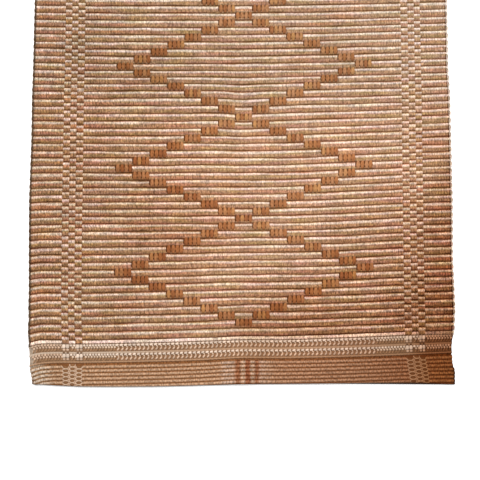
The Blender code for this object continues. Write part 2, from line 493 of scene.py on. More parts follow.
# %% Count strands and picks in a UV map
RIBBED, HEADED, HEMMED, CHECKED, UNDER_FLOATS = range(5)
CHECKS = (1, 2, 3, 7, 8, 9)  # the zones that are narrow stripes
weave = cloth.loops.layers.uv.new("weave")


def region_and_count(along, swapped):
    """Which finish a place has, and its count along the rug in that finish's own steps."""
    from_edge = min(along, LENGTH - along)
    if from_edge < HEM:
        return HEMMED, (from_edge - HEM_START) / HEM_RIB + 0.5 * swapped
    if from_edge < FINISH + (0 if along > LENGTH / 2 else 0.01):
        return HEADED, from_edge - HEM
    return RIBBED, rib_at(along) + 0.5 * swapped


for face in cloth.faces:
    middle = face.calc_center_median()
    zone = zone_at(middle.x)
    region, _ = region_and_count(middle.y, 0)
    if region == HEMMED and zone in CHECKS:
        region = CHECKED
    # the pits and their rims take the painted shade under the floats
    face.material_index = UNDER_FLOATS if face in pressed else region
    face.smooth = True
    for corner in face.loops:
        across, along, _ = corner.vert.co
        edge = between(along, middle.y, 0.001)
        _, count = region_and_count(edge, ZONES[zone].swapped)
        strand = strand_at(across, zone)
        corner[weave].uv = (strand, count)
        if region == CHECKED:
            corner[weave].uv.x = (strand - strand_at(ZONES[zone].start, zone)) / ZONES[zone].strands

# %% [markdown]
# ### Close the sleeve and lay it down
# The two long borders of the grid meet at the left selvedge and merge there. The last line of points at
# each end is a flat ring along the folded edge, and is filled. Then every point goes to its place on the
# floor.

# %% Close and lay the cloth
bmesh.ops.remove_doubles(cloth, verts=cloth.verts[:], dist=0.001)
rings = [edge for edge in cloth.edges if edge.is_boundary]
ends = bmesh.ops.holes_fill(cloth, edges=rings, sides=0)["faces"]
for face in ends:
    face.material_index = HEMMED
bmesh.ops.triangulate(cloth, faces=ends)


def lay_down(shape):
    for point in shape.verts:
        point.co = laid(*point.co)


lay_down(cloth)
bmesh.ops.recalc_face_normals(cloth, faces=cloth.faces[:])
print("open edges", sum(edge.is_boundary for edge in cloth.edges))
print("triangles", sum(len(face.verts) - 2 for face in cloth.faces))


def finished(name, shape, *materials):
    """Turns a bmesh into a shown object with its materials."""
    mesh = bpy.data.meshes.new(name)
    shape.to_mesh(mesh)
    shape.free()
    for material in materials:
        mesh.materials.append(material)
    piece = bpy.data.objects.new(name, mesh)
    bpy.context.scene.collection.objects.link(piece)
    return piece


# %% [markdown]
# ## Cotton yarn
# Every finish on the rug is the same cotton yarn in two colours. The cream yarn is undyed, and the tan
# yarn is a warm brown that is deeper where it floats. Cotton is matte, so the surface is rough and has
# almost no gloss. Small helpers place the nodes, so that a material reads as a sum.

# %% The yarn's colours, and a new cotton material
CREAM = (0.64, 0.49, 0.40)
TAN = (0.395, 0.222, 0.130)
# painted shade for the grooves between ribs, the gaps between strands and the holes at the right selvedge
GAP_SHADE = (0.10, 0.032, 0.007)


def new_cotton(name):
    """A matte cotton material: its node tree and its surface shader."""
    material = bpy.data.materials.new(name)
    material.use_nodes = True
    surface = material.node_tree.nodes["Principled BSDF"]
    surface.inputs["Roughness"].default_value = 0.93
    surface.inputs["Specular IOR Level"].default_value = 0.03
    return material, material.node_tree, surface


# %% Helpers for shader maths
def feed(tree, socket, value):
    """Plugs another node's output, or sets a plain number or colour."""
    if isinstance(value, bpy.types.NodeSocket):
        tree.links.new(value, socket)
    elif isinstance(value, tuple) and len(socket.default_value) == 4 and len(value) == 3:
        socket.default_value = (*value, 1.0)
    else:
        socket.default_value = value


def sum_up(tree, operation, *values):
    node = tree.nodes.new("ShaderNodeMath")
    node.operation = operation
    for socket, value in zip(node.inputs, values):
        feed(tree, socket, value)
    return node.outputs[0]


def away_from(tree, value, middle):
    """How far a value is from a middle one, on either side."""
    return sum_up(tree, "ABSOLUTE", sum_up(tree, "SUBTRACT", value, middle))


def ease(tree, value, low, high, start=0.0, end=1.0):
    """Runs softly from start to end as value goes from low to high."""
    node = tree.nodes.new("ShaderNodeMapRange")
    node.interpolation_type = "SMOOTHSTEP"
    for socket, number in zip(node.inputs, (value, low, high, start, end)):
        feed(tree, socket, number)
    return node.outputs["Result"]


# %% Helpers for colours
def mixed(tree, share, first, second, way="MIX"):
    node = tree.nodes.new("ShaderNodeMix")
    node.data_type = "RGBA"
    node.blend_type = way
    feed(tree, node.inputs["Factor"], share)
    feed(tree, node.inputs["A"], first)
    feed(tree, node.inputs["B"], second)
    return node.outputs["Result"]


def shaded(tree, color, by):
    """The colour times a number or another colour."""
    return mixed(tree, 1.0, color, by, "MULTIPLY")


def deepened(tree, color, gamma):
    """The colour with its dark yarns darker still."""
    node = tree.nodes.new("ShaderNodeGamma")
    feed(tree, node.inputs["Color"], color)
    feed(tree, node.inputs["Gamma"], gamma)
    return node.outputs["Color"]


def ramp(tree, value, stops):
    """A colour that runs through the stops, each a place and a colour, as value rises."""
    node = tree.nodes.new("ShaderNodeValToRGB")
    feed(tree, node.inputs["Fac"], value)
    elements = node.color_ramp.elements
    while len(elements) < len(stops):
        elements.new(0.5)
    for element, (place, color) in zip(elements, stops):
        element.position = place
        element.color = (*color, 1.0)
    return node.outputs["Color"]


# %% Helpers that tell a place on the cloth or on the floor
def split(tree, vector):
    node = tree.nodes.new("ShaderNodeSeparateXYZ")
    tree.links.new(vector, node.inputs[0])
    return node.outputs


def joined(tree, *values):
    node = tree.nodes.new("ShaderNodeCombineXYZ")
    for socket, value in zip(node.inputs, values):
        feed(tree, socket, value)
    return node.outputs[0]


def read_map(tree, name):
    """The two numbers of a UV map, such as the strand and pick counts of the weave map."""
    node = tree.nodes.new("ShaderNodeUVMap")
    node.uv_map = name
    numbers = split(tree, node.outputs["UV"])
    return numbers["X"], numbers["Y"]


def floor_place(tree):
    """Object coordinates, which are the place on the floor in metres."""
    return tree.nodes.new("ShaderNodeTexCoord").outputs["Object"]


def across_rug(tree):
    """0 at the left selvedge and 1 at the right one, straight from the floor."""
    place = split(tree, floor_place(tree))
    return sum_up(tree, "MULTIPLY_ADD", place["X"], 1 / (2 * HALF_WIDTH * MM), 0.5)


# %% Helpers for chance
def speckle(tree, across, along, seed):
    """A random number for each whole strand and pick."""
    noise = tree.nodes.new("ShaderNodeTexWhiteNoise")
    whole = joined(tree, sum_up(tree, "FLOOR", across), sum_up(tree, "FLOOR", along), seed)
    tree.links.new(whole, noise.inputs["Vector"])
    return noise.outputs["Value"]


def noise_at(tree, place, scale, detail):
    noise = tree.nodes.new("ShaderNodeTexNoise")
    tree.links.new(place, noise.inputs["Vector"])
    noise.inputs["Scale"].default_value = scale
    noise.inputs["Detail"].default_value = detail
    return noise.outputs["Fac"]


def cloudy(tree, scale, detail=2.0, stretch=1.0):
    """Soft noise over the floor, between 0 and 1, that may be stretched along the warp yarns."""
    mapping = tree.nodes.new("ShaderNodeMapping")
    tree.links.new(floor_place(tree), mapping.inputs["Vector"])
    mapping.inputs["Scale"].default_value = (stretch, 1 / stretch, 1.0)
    return noise_at(tree, mapping.outputs[0], scale, detail)


def streaks(tree, pick, seed, per_metre):
    """Soft noise that runs far along each pick and changes from one pick to the next."""
    far = sum_up(tree, "MULTIPLY", split(tree, floor_place(tree))["X"], per_metre)
    return noise_at(tree, joined(tree, far, sum_up(tree, "MULTIPLY", pick, 1.9), seed), 1.0, 3.0)


def mottled(tree, color, noise, darkest, lightest):
    """The colour made lighter and darker by a noise, which lies mostly between 0.3 and 0.7."""
    return shaded(tree, color, ease(tree, noise, 0.3, 0.7, darkest, lightest))


def bumped(tree, surface, height, depth):
    node = tree.nodes.new("ShaderNodeBump")
    node.inputs["Distance"].default_value = depth
    tree.links.new(height, node.inputs["Height"])
    tree.links.new(node.outputs[0], surface.inputs["Normal"])


# %% [markdown]
# ### How the colour wanders over the rug
# The colour isn't even over the rug. The near right corner is painted deeper and redder, as shade where
# the light falls off, and the near left one is painted paler, as brighter light. The left and the far
# part are a little greyer. Each is a soft spot on the floor. Its tint is mixed over the yarn's colour, and
# its depth makes the dark yarns darker still. The heading and the hem have tints of their own, which
# change only across the rug and grow deeper and redder towards the right, as the same painted shade.
# Streaks along the picks and flecks of single fibres come on top.

# %% Colour that wanders
Spot = namedtuple("Spot", "x y inner outer tint depth")
SHADE_AND_TINT_SPOTS = (
    # painted shade where the light falls off, deeper and redder: the near right corner, its margin and the
    # right margin
    Spot(0.36, -0.92, 0.06, 0.40, (0.85, 0.77, 0.71), 0.5),  # near right corner
    Spot(0.33, -0.82, 0.03, 0.12, (0.98, 0.92, 0.83), 0.0),  # the margin at that corner
    Spot(0.62, -0.66, 0.31, 0.41, (0.90, 0.85, 0.82), 0.1),  # right margin
    Spot(-1.20, -0.55, 0.93, 1.25, (0.885, 0.93, 0.945), 0.26),  # left part
    # painted light: the near left corner paler
    Spot(-0.30, -0.86, 0.02, 0.16, (1.09, 1.11, 1.12), 0.0),  # near left corner
    Spot(-0.08, -0.68, 0.03, 0.14, (0.94, 0.88, 0.84), 0.0),  # left of the crease
    Spot(0.06, -0.86, 0.03, 0.14, (0.85, 0.78, 0.72), 0.1),  # right of the crease, at the heading
    Spot(0.03, -0.38, 0.06, 0.20, (0.93, 0.91, 0.89), 0.0),  # on the crease, three diamonds up
    Spot(0.0, 0.60, 1.06, 1.17, (0.88, 0.93, 0.96), 0.0),  # far part
)
# deeper and redder towards the right selvedge: painted shade where the light falls off
HEM_SHADE_TINTS = (  # from the left selvedge, at 0, to the right one, at 1
    (0.0, (0.99, 0.99, 0.99)), (0.45, (1.0, 1.0, 1.0)), (0.62, (0.87, 0.79, 0.75)),
    (0.78, (0.79, 0.69, 0.63)), (0.88, (0.63, 0.47, 0.375)), (0.955, (0.55, 0.35, 0.19)),
    (1.0, (0.49, 0.31, 0.165)),
)
# deeper towards the right selvedge: painted shade where the light falls off
HEADING_SHADE_TINTS = (
    (0.0, (0.96, 0.97, 0.97)), (0.17, (0.95, 0.96, 0.96)), (0.42, (1.0, 1.0, 1.0)),
    (0.56, (0.92, 0.86, 0.81)), (0.68, (0.90, 0.84, 0.81)), (0.80, (0.80, 0.71, 0.66)),
    (0.88, (0.70, 0.64, 0.59)), (0.955, (0.88, 0.77, 0.73)), (1.0, (0.81, 0.71, 0.67)),
)


def clouded(tree, color):
    """The colour, a little lighter here and darker there."""
    return mottled(tree, color, cloudy(tree, 9.0), 0.95, 1.05)


def tinted_end(tree, color, tints=HEADING_SHADE_TINTS, depth=0.6):
    """The colour of the heading or the hem, painted deeper towards the near right corner as shade."""
    deep = deepened(tree, color, ease(tree, across_rug(tree), 0.88, 0.95, 1.0, 1.0 + depth))
    return clouded(tree, shaded(tree, deep, ramp(tree, across_rug(tree), tints)))


def wandering(tree, color):
    """The colour of the ribs with the soft spots over it, some of them painted shade and light."""
    for spot in SHADE_AND_TINT_SPOTS:
        reach = tree.nodes.new("ShaderNodeVectorMath")
        reach.operation = "DISTANCE"
        tree.links.new(floor_place(tree), reach.inputs[0])
        reach.inputs[1].default_value = (spot.x, spot.y, 0.0)
        share = ease(tree, reach.outputs["Value"], spot.outer, spot.inner)
        if spot.depth:
            color = deepened(tree, color, sum_up(tree, "MULTIPLY_ADD", share, spot.depth, 1.0))
        color = mixed(tree, share, color, shaded(tree, color, spot.tint))
    return clouded(tree, color)


# %% Streaks and flecks
PINK_TO_OLIVE = ((0.33, (1.08, 0.92, 0.94)), (0.5, (1.0, 1.0, 1.0)), (0.67, (0.94, 1.03, 0.91)))
YELLOW_TO_BLUE = ((0.33, (1.0, 1.0, 0.82)), (0.67, (1.0, 1.0, 1.14)))


def flecked(tree, color, pick, cream):
    """Streaks that lean to other hues, less so in cream yarn, and small lighter and darker fibres."""
    leaning = shaded(tree, color, ramp(tree, streaks(tree, pick, 5.0, 16.0), PINK_TO_OLIVE))
    leaning = shaded(tree, leaning, ramp(tree, streaks(tree, pick, 11.0, 30.0), YELLOW_TO_BLUE))
    color = mixed(tree, sum_up(tree, "MULTIPLY_ADD", cream, -0.5, 1.0), color, leaning)
    color = mottled(tree, color, streaks(tree, pick, 8.0, 45.0), 0.89, 1.12)
    return mottled(tree, color, cloudy(tree, 640.0, 2.0, 1.9), 0.56, 1.48)


# %% [markdown]
# ### The ribbed weave
# The pick count's fraction tells where in its rib a point lies: tan first, then cream, then the groove,
# which is painted with shade and a little dirt. The shallow valley between tan and cream gets painted
# shade too. Each strand of the yarn is a little rounded and in each pick has a tone of its own, with
# painted shade in the gap beside it. A slanting ripple is the twist of the yarn.

# %% Relief of the yarn
def yarn_relief(tree, strand, pick):
    """Round strands with a slanting twist and some fuzz, as a height, and the place inside the strand."""
    aside = sum_up(tree, "ADD", strand, 0.46)
    leaning = sum_up(tree, "MULTIPLY_ADD", sum_up(tree, "FRACT", pick), 0.35, aside)
    leaning = sum_up(tree, "MULTIPLY_ADD", cloudy(tree, 90.0, 1.0), 0.5, leaning)
    in_strand = sum_up(tree, "MULTIPLY_ADD", sum_up(tree, "FRACT", leaning), 2.0, -1.0)
    dome = sum_up(tree, "SUBTRACT", 1.0, sum_up(tree, "MULTIPLY", in_strand, in_strand))
    slant = sum_up(tree, "MULTIPLY_ADD", strand, 18.0, sum_up(tree, "MULTIPLY", pick, 40.0))
    twist = sum_up(tree, "MULTIPLY", sum_up(tree, "SINE", slant), 0.12)
    fuzz = sum_up(tree, "MULTIPLY", cloudy(tree, 1400.0, 1.0), 0.45)
    return sum_up(tree, "ADD", sum_up(tree, "ADD", dome, twist), fuzz), in_strand


# %% Which yarn lies where in a rib
WOBBLE, WANDER = 0.10, 0.36  # how far the picks stray, in ribs, over short and over long stretches


def phase_in_rib(tree, pick):
    """Where in its rib a place is, from 0 at one groove to 1 at the next. The picks are uneven."""
    even = sum_up(tree, "SUBTRACT", pick, (WOBBLE + WANDER) / 2)
    uneven = sum_up(tree, "MULTIPLY_ADD", cloudy(tree, 170.0), WOBBLE, even)
    uneven = sum_up(tree, "MULTIPLY_ADD", streaks(tree, pick, 2.0, 16.0), WANDER, uneven)
    return sum_up(tree, "FRACT", uneven)


def cream_share(tree, pick, phase):
    """How much of a place is cream yarn, and whether it is in the lone pick before the first whole rib."""
    rising = sum_up(tree, "ADD", phase, ease(tree, across_rug(tree), 0.08, 0.36, 0.03, 0.0))
    in_rib = sum_up(tree, "SUBTRACT", ease(tree, rising, 0.46, 0.69), ease(tree, phase, 0.757, 0.867))
    alone = sum_up(tree, "LESS_THAN", pick, 0.0)
    lone = sum_up(tree, "SUBTRACT", ease(tree, pick, -0.60, -0.50), ease(tree, pick, -0.14, -0.03))
    return sum_up(tree, "MAXIMUM", in_rib, sum_up(tree, "MULTIPLY", alone, lone)), alone


def groove_dirt_and_shade(tree, phase):
    """Painted shade and a little dirt in the groove between two ribs, fainter near the left selvedge."""
    past, ahead = sum_up(tree, "ADD", phase, 0.008), sum_up(tree, "SUBTRACT", 0.985, phase)
    near_groove = ease(tree, sum_up(tree, "MINIMUM", past, ahead), 0.12, 0.03)
    return sum_up(tree, "MULTIPLY", near_groove, ease(tree, across_rug(tree), 0.1, 0.36, 0.75, 0.86))


# %% Ribbed cloth material
LONE_PICK_TINTS = ((0.70, (1.17, 1.18, 1.20)), (0.86, (1.12, 1.10, 1.10)), (0.95, (0.72, 0.66, 0.62)))
# the turned weft's cream is painted lighter than the yarn, as light on the rounded right edge
TURNED_TAN, TURNED_CREAM_LIT = (0.56, 0.44, 0.36), (0.80, 0.69, 0.61)
# painted shade along the left selvedge
LEFT_EDGE_SHADE = (0.12, 0.080, 0.052)


def with_selvedges(tree, color, strand, cream):
    """Adds the right selvedge's turned weft, and painted shade in its gaps and along the left edge."""
    from_gap = away_from(tree, strand, STRANDS - 0.88)
    # painted shade in the gaps beside the outermost strand, mostly at the tan picks
    hole_shade = sum_up(tree, "MULTIPLY", ease(tree, from_gap, 0.34, 0.12), sum_up(tree, "SUBTRACT", 0.9, cream))
    color = mixed(tree, hole_shade, color, GAP_SHADE)
    # the turned weft, with its cream painted lighter as light on the rounded edge
    turned = mixed(tree, cream, TURNED_TAN, TURNED_CREAM_LIT)
    color = mixed(tree, ease(tree, strand, STRANDS - 0.75, STRANDS - 0.55), color, turned)
    # painted shade along the left selvedge
    return mixed(tree, ease(tree, strand, 0.98, 0.74, 0.0, 0.85), color, LEFT_EDGE_SHADE)


def ribbed_material():
    material, tree, surface = new_cotton("ribbed_weave")
    strand, pick = read_map(tree, "weave")
    phase = phase_in_rib(tree, pick)
    cream, alone = cream_share(tree, pick, phase)
    color = mixed(tree, cream, TAN, CREAM)
    bright = shaded(tree, color, ramp(tree, across_rug(tree), LONE_PICK_TINTS))
    color = mixed(tree, alone, color, bright)
    # painted shade in the shallow valley between the tan and the cream pick, deeper towards the right
    valley = ease(tree, away_from(tree, phase, 0.46), 0.12, 0.0)
    depth = ease(tree, across_rug(tree), 0.05, 0.60, -0.04, -0.20)
    color = shaded(tree, color, sum_up(tree, "MULTIPLY_ADD", valley, depth, 1.0))
    own = speckle(tree, strand, sum_up(tree, "MULTIPLY", pick, 2.0), 1.0)
    color = shaded(tree, color, ease(tree, own, 0.0, 1.0, 0.90, 1.10))
    relief, in_strand = yarn_relief(tree, strand, pick)
    # painted shade in the gap between strands, in the tan pick only
    gap = ease(tree, sum_up(tree, "ABSOLUTE", in_strand), 0.55, 1.0, 0.0, 0.30)
    in_tan = sum_up(tree, "MULTIPLY_ADD", cream, -0.7, 1.0)
    color = mixed(tree, sum_up(tree, "MULTIPLY", gap, in_tan), color, GAP_SHADE)
    color = with_selvedges(tree, color, strand, cream)
    # painted shade, with a little dirt, in the groove between ribs
    color = mixed(tree, groove_dirt_and_shade(tree, phase), color, GAP_SHADE)
    feed(tree, surface.inputs["Base Color"], wandering(tree, flecked(tree, color, pick, cream)))
    bumped(tree, surface, relief, 0.00045)
    return material


ribbed = ribbed_material()
print("ribbed weave", len(ribbed.node_tree.nodes), "nodes")

# %% [markdown]
# ### The heading's ground
# Under the heading's stitches the ground is dark, with one pale thin pick at the foot of each band and
# another before the first rib. The pale picks are creamier at the left.

# %% Heading material
BAND = 13.2  # millimetres from one pale pick to the next
PALE_LINE, WARM_LINE, LOW_LINE = (0.58, 0.44, 0.33), (0.46, 0.285, 0.175), (0.47, 0.275, 0.16)
GROUND, MARGIN_GROUND, LEFT_GROUND = (0.262, 0.133, 0.067), (0.255, 0.138, 0.073), (0.40, 0.30, 0.22)


def heading_material():
    material, tree, surface = new_cotton("heading_ground")
    strand, pick = read_map(tree, "weave")
    in_band = sum_up(tree, "MODULO", sum_up(tree, "ADD", pick, 4.0), BAND)
    pale = ease(tree, away_from(tree, in_band, 4.9), 1.9, 0.5)
    pale = sum_up(tree, "MAXIMUM", pale, ease(tree, pick, 24.2, 25.4))
    upper = mixed(tree, ease(tree, across_rug(tree), 0.12, 0.45), PALE_LINE, WARM_LINE)
    line = mixed(tree, ease(tree, pick, 6.0, 7.0), LOW_LINE, upper)
    line = mixed(tree, ease(tree, pick, 24.0, 24.1), line, PALE_LINE)
    in_margin = ease(tree, away_from(tree, across_rug(tree), 0.506), 0.303, 0.311)
    ground = mixed(tree, in_margin, GROUND, MARGIN_GROUND)
    ground = mixed(tree, ease(tree, across_rug(tree), 0.022, 0.006), ground, LEFT_GROUND)
    color = mottled(tree, ground, cloudy(tree, 260.0), 0.78, 1.22)
    color = mixed(tree, pale, color, line)
    relief, _ = yarn_relief(tree, strand, pick)
    feed(tree, surface.inputs["Base Color"], tinted_end(tree, color))
    bumped(tree, surface, relief, 0.0003)
    return material


# %% [markdown]
# ### The hem
# The hem is woven finer. Its ribs are light on top and dark between, partly from the yarn and partly as
# painted shade. The broad groove where it is stitched down, and a thin line low on the folded edge, are
# painted dark as shade. At the crease three narrow dark stripes cross it, with light ones between them,
# in a paler patch. In the check stripes cream outlines run round dark ovals, like scales.

# %% Stripes of the hem
HEM_TAN, PALE_PATCH = (0.41, 0.243, 0.148), (0.445, 0.30, 0.22)
LIGHT_STRIPE, DARK_STRIPE, MIDDLE_STRIPE = (0.46, 0.315, 0.225), (0.30, 0.133, 0.068), (0.28, 0.11, 0.055)


def stripe(start, end, color):
    """Two stops of one colour, at the sides of a stripe."""
    return (start, color), (end, color)


HEM_CRESTS = (  # millimetres across the rug, and the colour of the hem's ribs there
    (-300, (0.52, 0.41, 0.32)),
    (-279, (0.48, 0.37, 0.28)),
    (-264, (0.41, 0.26, 0.163)),
    (-31, HEM_TAN),
    *stripe(-24, -10.5, PALE_PATCH),
    *stripe(-7.5, -1.5, DARK_STRIPE),
    *stripe(0.8, 5, LIGHT_STRIPE),
    *stripe(7, 12, MIDDLE_STRIPE),
    *stripe(14, 18, LIGHT_STRIPE),
    *stripe(20, 24.2, DARK_STRIPE),
    (26.8, PALE_PATCH),
    (37, (0.435, 0.28, 0.19)),
    (49, (0.395, 0.232, 0.143)),
    (300, (0.41, 0.236, 0.143)),
)
print("stops across the hem", len(HEM_CRESTS))

# %% Hem material
# a trough is partly the yarn's own colour and partly painted shade between the hem's ribs
HEM_TROUGH_TINT_AND_SHADE = (0.44, 0.28, 0.145)  # the tint of a trough, over the colour of its crest
STRIPE_WAVE = 0.008  # how far the sides of the stripes waver, as a share of the rug's width
# painted shade for the groove where the hem is stitched down, and a paler one at the left
STITCHED_SHADE, STITCHED_SHADE_AT_LEFT = (0.172, 0.068, 0.024), (0.36, 0.27, 0.19)
# painted shade low on the folded edge
FOLD_SHADE = (0.12, 0.065, 0.035)


def folded_edge_shade(tree, pick):
    """How much of a place is in the painted shade low on the folded edge."""
    height = split(tree, floor_place(tree))["Z"]
    low = sum_up(tree, "MULTIPLY", ease(tree, height, 0.0044, 0.0034), ease(tree, height, 0.0002, 0.001))
    return sum_up(tree, "MULTIPLY", low, ease(tree, pick, HEM_RIBS - 2.0, HEM_RIBS - 3.0, 0.0, 0.85))


def hem_material():
    material, tree, surface = new_cotton("hem_weave")
    strand, pick = read_map(tree, "weave")
    crest = ease(tree, away_from(tree, sum_up(tree, "FRACT", pick), 0.5), 0.44, 0.10)
    wavy = sum_up(tree, "SUBTRACT", across_rug(tree), STRIPE_WAVE / 2)
    wavy = sum_up(tree, "MULTIPLY_ADD", cloudy(tree, 120.0), STRIPE_WAVE, wavy)
    light = ramp(tree, wavy, [(0.5 + place / (2 * HALF_WIDTH), color) for place, color in HEM_CRESTS])
    # troughs darker than crests: partly the yarn, partly painted shade
    color = mixed(tree, crest, shaded(tree, light, HEM_TROUGH_TINT_AND_SHADE), light)
    # painted shade in the groove where the hem is stitched down, paler at the left
    color = mixed(tree, ease(tree, pick, HEM_RIBS, HEM_RIBS + 0.08), color, STITCHED_SHADE)
    at_left = ease(tree, across_rug(tree), 0.045, 0.02, 0.0, 0.8)
    in_groove = ease(tree, pick, HEM_RIBS - 0.1, HEM_RIBS + 0.1)
    color = mixed(tree, sum_up(tree, "MULTIPLY", at_left, in_groove), color, STITCHED_SHADE_AT_LEFT)
    color = mottled(tree, color, cloudy(tree, 460.0, 2.0, 1.5), 0.56, 1.48)
    color = mixed(tree, folded_edge_shade(tree, pick), color, FOLD_SHADE)
    relief, _ = yarn_relief(tree, strand, pick)
    feed(tree, surface.inputs["Base Color"], tinted_end(tree, color, HEM_SHADE_TINTS, 0.08))
    bumped(tree, surface, relief, 0.0003)
    return material


# %% Check stripes of the hem
OUTLINE = (0.56, 0.41, 0.295)
OVAL_TINTS = (  # from the middle of an oval outwards
    (0.0, (0.24, 0.12, 0.055)), (0.35, (0.175, 0.078, 0.032)), (0.455, OUTLINE), (0.505, OUTLINE),
    (0.56, (0.30, 0.155, 0.085)), (1.0, (0.26, 0.13, 0.068)),
)


def hem_check_material():
    material, tree, surface = new_cotton("hem_checks")
    share, pick = read_map(tree, "weave")
    aside = sum_up(tree, "MULTIPLY", sum_up(tree, "SUBTRACT", share, 0.5), 2.0)
    phase = sum_up(tree, "FRACT", pick)
    from_middle = sum_up(tree, "MINIMUM", phase, sum_up(tree, "SUBTRACT", 1.0, phase))
    from_middle = sum_up(tree, "MULTIPLY", from_middle, 2.05)
    squares = [sum_up(tree, "POWER", value, 2.0) for value in (aside, from_middle)]
    reach = sum_up(tree, "SQRT", sum_up(tree, "ADD", *squares))
    color = ramp(tree, sum_up(tree, "MULTIPLY", reach, 0.5), OVAL_TINTS)
    # painted shade in the stitched groove and low on the folded edge
    color = mixed(tree, ease(tree, pick, HEM_RIBS + 0.1, HEM_RIBS + 0.2), color, STITCHED_SHADE)
    color = mixed(tree, folded_edge_shade(tree, pick), color, FOLD_SHADE)
    color = mottled(tree, color, cloudy(tree, 460.0), 0.86, 1.14)
    feed(tree, surface.inputs["Base Color"], tinted_end(tree, color, HEM_SHADE_TINTS, 0.08))
    bumped(tree, surface, cloudy(tree, 1400.0, 1.0), 0.0003)
    return material


# %% Painted shade under the floats
PIT_SHADE = (0.13, 0.045, 0.014)


def shadow_material():
    """The painted shade in the pits that the floats bridge, and on their rims."""
    material, tree, surface = new_cotton("under_floats")
    feed(tree, surface.inputs["Base Color"], wandering(tree, PIT_SHADE))
    return material


# %% Dress the cloth
cloth_materials = ribbed, heading_material(), hem_material(), hem_check_material(), shadow_material()
woven_cloth = finished("woven_cloth", cloth, *cloth_materials)
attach(woven_cloth, "root")
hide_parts("runner_cloth")
print("woven cloth", len(woven_cloth.data.polygons), "faces")

# %% [markdown]
# ## The diamonds' floats
# In each block of a diamond the tan warp doesn't dip under the cream pick. Four strands float over it,
# from the tan pick of one rib to that of the next. A float is a short thick strand, so it starts as a
# sphere of few faces that is drawn out and made boxy, and pinched in two places where its neighbours
# leave dark gaps.

# %% One float, and a copy for each strand
def in_order(parts, place):
    """Numbers points or faces by their places, because operators number them anew on each run."""
    for index, part in enumerate(sorted(parts, key=lambda part: tuple(place(part)))):
        part.index = index
    parts.sort()


def mesh_to_copy(shape, name):
    """The shape as a mesh to copy, with the same order of points and faces on each run."""
    in_order(shape.verts, lambda point: point.co)
    in_order(shape.faces, lambda face: face.calc_center_median())
    mesh = bpy.data.meshes.new(name)
    shape.to_mesh(mesh)
    shape.free()
    return mesh


def drawn_out(segments, rings):
    """A sphere with its poles along Y, boxy along its length, kept as a mesh to copy."""
    shape = bmesh.new()
    bmesh.ops.create_uvsphere(shape, u_segments=segments, v_segments=rings, radius=1.0)
    bmesh.ops.rotate(shape, verts=shape.verts[:], matrix=Matrix.Rotation(math.radians(90), 3, "X"))
    for point in shape.verts:
        ring = math.hypot(point.co.x, point.co.z)
        if ring > 1e-4:
            y = point.co.y * 1.06
            full = max(0.0, 1 - abs(y) ** 5) ** 0.4
            point.co.x *= full / ring
            point.co.z *= full / ring
            point.co.y = y
        else:
            point.co.y = math.copysign(1.03, point.co.y)
    return mesh_to_copy(shape, "strand")


def add_copy(shape, mesh, place, material=0):
    """Adds the mesh to the shape, with each new point moved by place, and with a shade of its own."""
    points, faces = len(shape.verts), len(shape.faces)
    shape.from_mesh(mesh)
    shape.verts.ensure_lookup_table()
    shape.faces.ensure_lookup_table()
    for point in shape.verts[points:]:
        point.co = place(point.co)
    lot = shape.loops.layers.uv.get("lot") or shape.loops.layers.uv.new("lot")
    value = random.random()
    for face in shape.faces[faces:]:
        face.smooth = True
        face.material_index = material
        for corner in face.loops:
            corner[lot].uv = (value, 0.5)


# %% Set the floats in their blocks
STRAND_PLACES = (0.68, 1.68, 2.66, 3.58)  # strands across a block
FLOAT_START, FLOAT_END = 0.04, 1.13  # in ribs, from the near groove of its own rib
PINCHES = ((0.90, 0.13, 0.42), (0.30, 0.14, 0.28))  # where a float is narrow, over what stretch, how much
FLOAT_HEIGHTS = ((0.0, 4.6), (0.27, 5.3), (0.62, 5.45), (1.0, 5.1), (1.27, 5.3))


def float_height(phase):
    low, high, share = table_at(FLOAT_HEIGHTS, phase)
    return between(low[1], high[1], share)


def float_width(phase):
    """Half the width of a float, in millimetres."""
    pinched = sum(much * math.exp(-((phase - at) / stretch) ** 2) for at, stretch, much in PINCHES)
    return 0.58 * BLOCK / BLOCK_STRANDS * (1 - pinched)


random.seed(7)
float_mesh = drawn_out(8, 8)
floats = bmesh.new()
for rib, block in FLOATS:
    for strand_place in STRAND_PLACES:
        middle = MIDDLE_START + (block + strand_place / BLOCK_STRANDS) * BLOCK
        middle += random.uniform(-0.15, 0.15)
        size = random.uniform(0.94, 1.04)

        def place(co):
            phase = between(FLOAT_START, FLOAT_END, (co.y + 1) / 2)
            across = middle + co.x * float_width(phase) * size
            return across, along_of(rib + phase), float_height(phase) + co.z * 1.15 * size

        add_copy(floats, float_mesh, place)
lay_down(floats)
print("floats", len(FLOATS) * BLOCK_STRANDS, "faces", len(floats.faces))


# %% Float material
FLOAT_TINTS = (
    (0.0, (0.275, 0.105, 0.043)), (0.4, (0.325, 0.133, 0.051)),
    (0.75, (0.365, 0.170, 0.080)), (1.0, (0.395, 0.190, 0.072)),
)


def own_shade(tree):
    """A number between 0 and 1 that each copy carries in its map."""
    return read_map(tree, "lot")[0]


def float_material():
    material, tree, surface = new_cotton("floating_strands")
    color = ramp(tree, own_shade(tree), FLOAT_TINTS)
    color = mottled(tree, color, cloudy(tree, 560.0, 2.0, 1.9), 0.74, 1.28)
    feed(tree, surface.inputs["Base Color"], wandering(tree, color))
    bumped(tree, surface, cloudy(tree, 1200.0, 1.0), 0.00025)
    return material


diamond_floats = finished("diamond_floats", floats, float_material())
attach(diamond_floats, "root")

# %% [markdown]
# ## The heading
# Between the ribs and the hem are two bands of twined stitches. In each strand a cream bead sits at the
# top. From it a stroke slants to a tip half a strand aside, and another slants back to a foot, so a row
# of them reads as arrowheads. In the narrower strands of the borders and margins a second bead takes the
# place of the tip. In the swapped stripes the beads are long and white, with a dark spot where the pale
# pick would run.

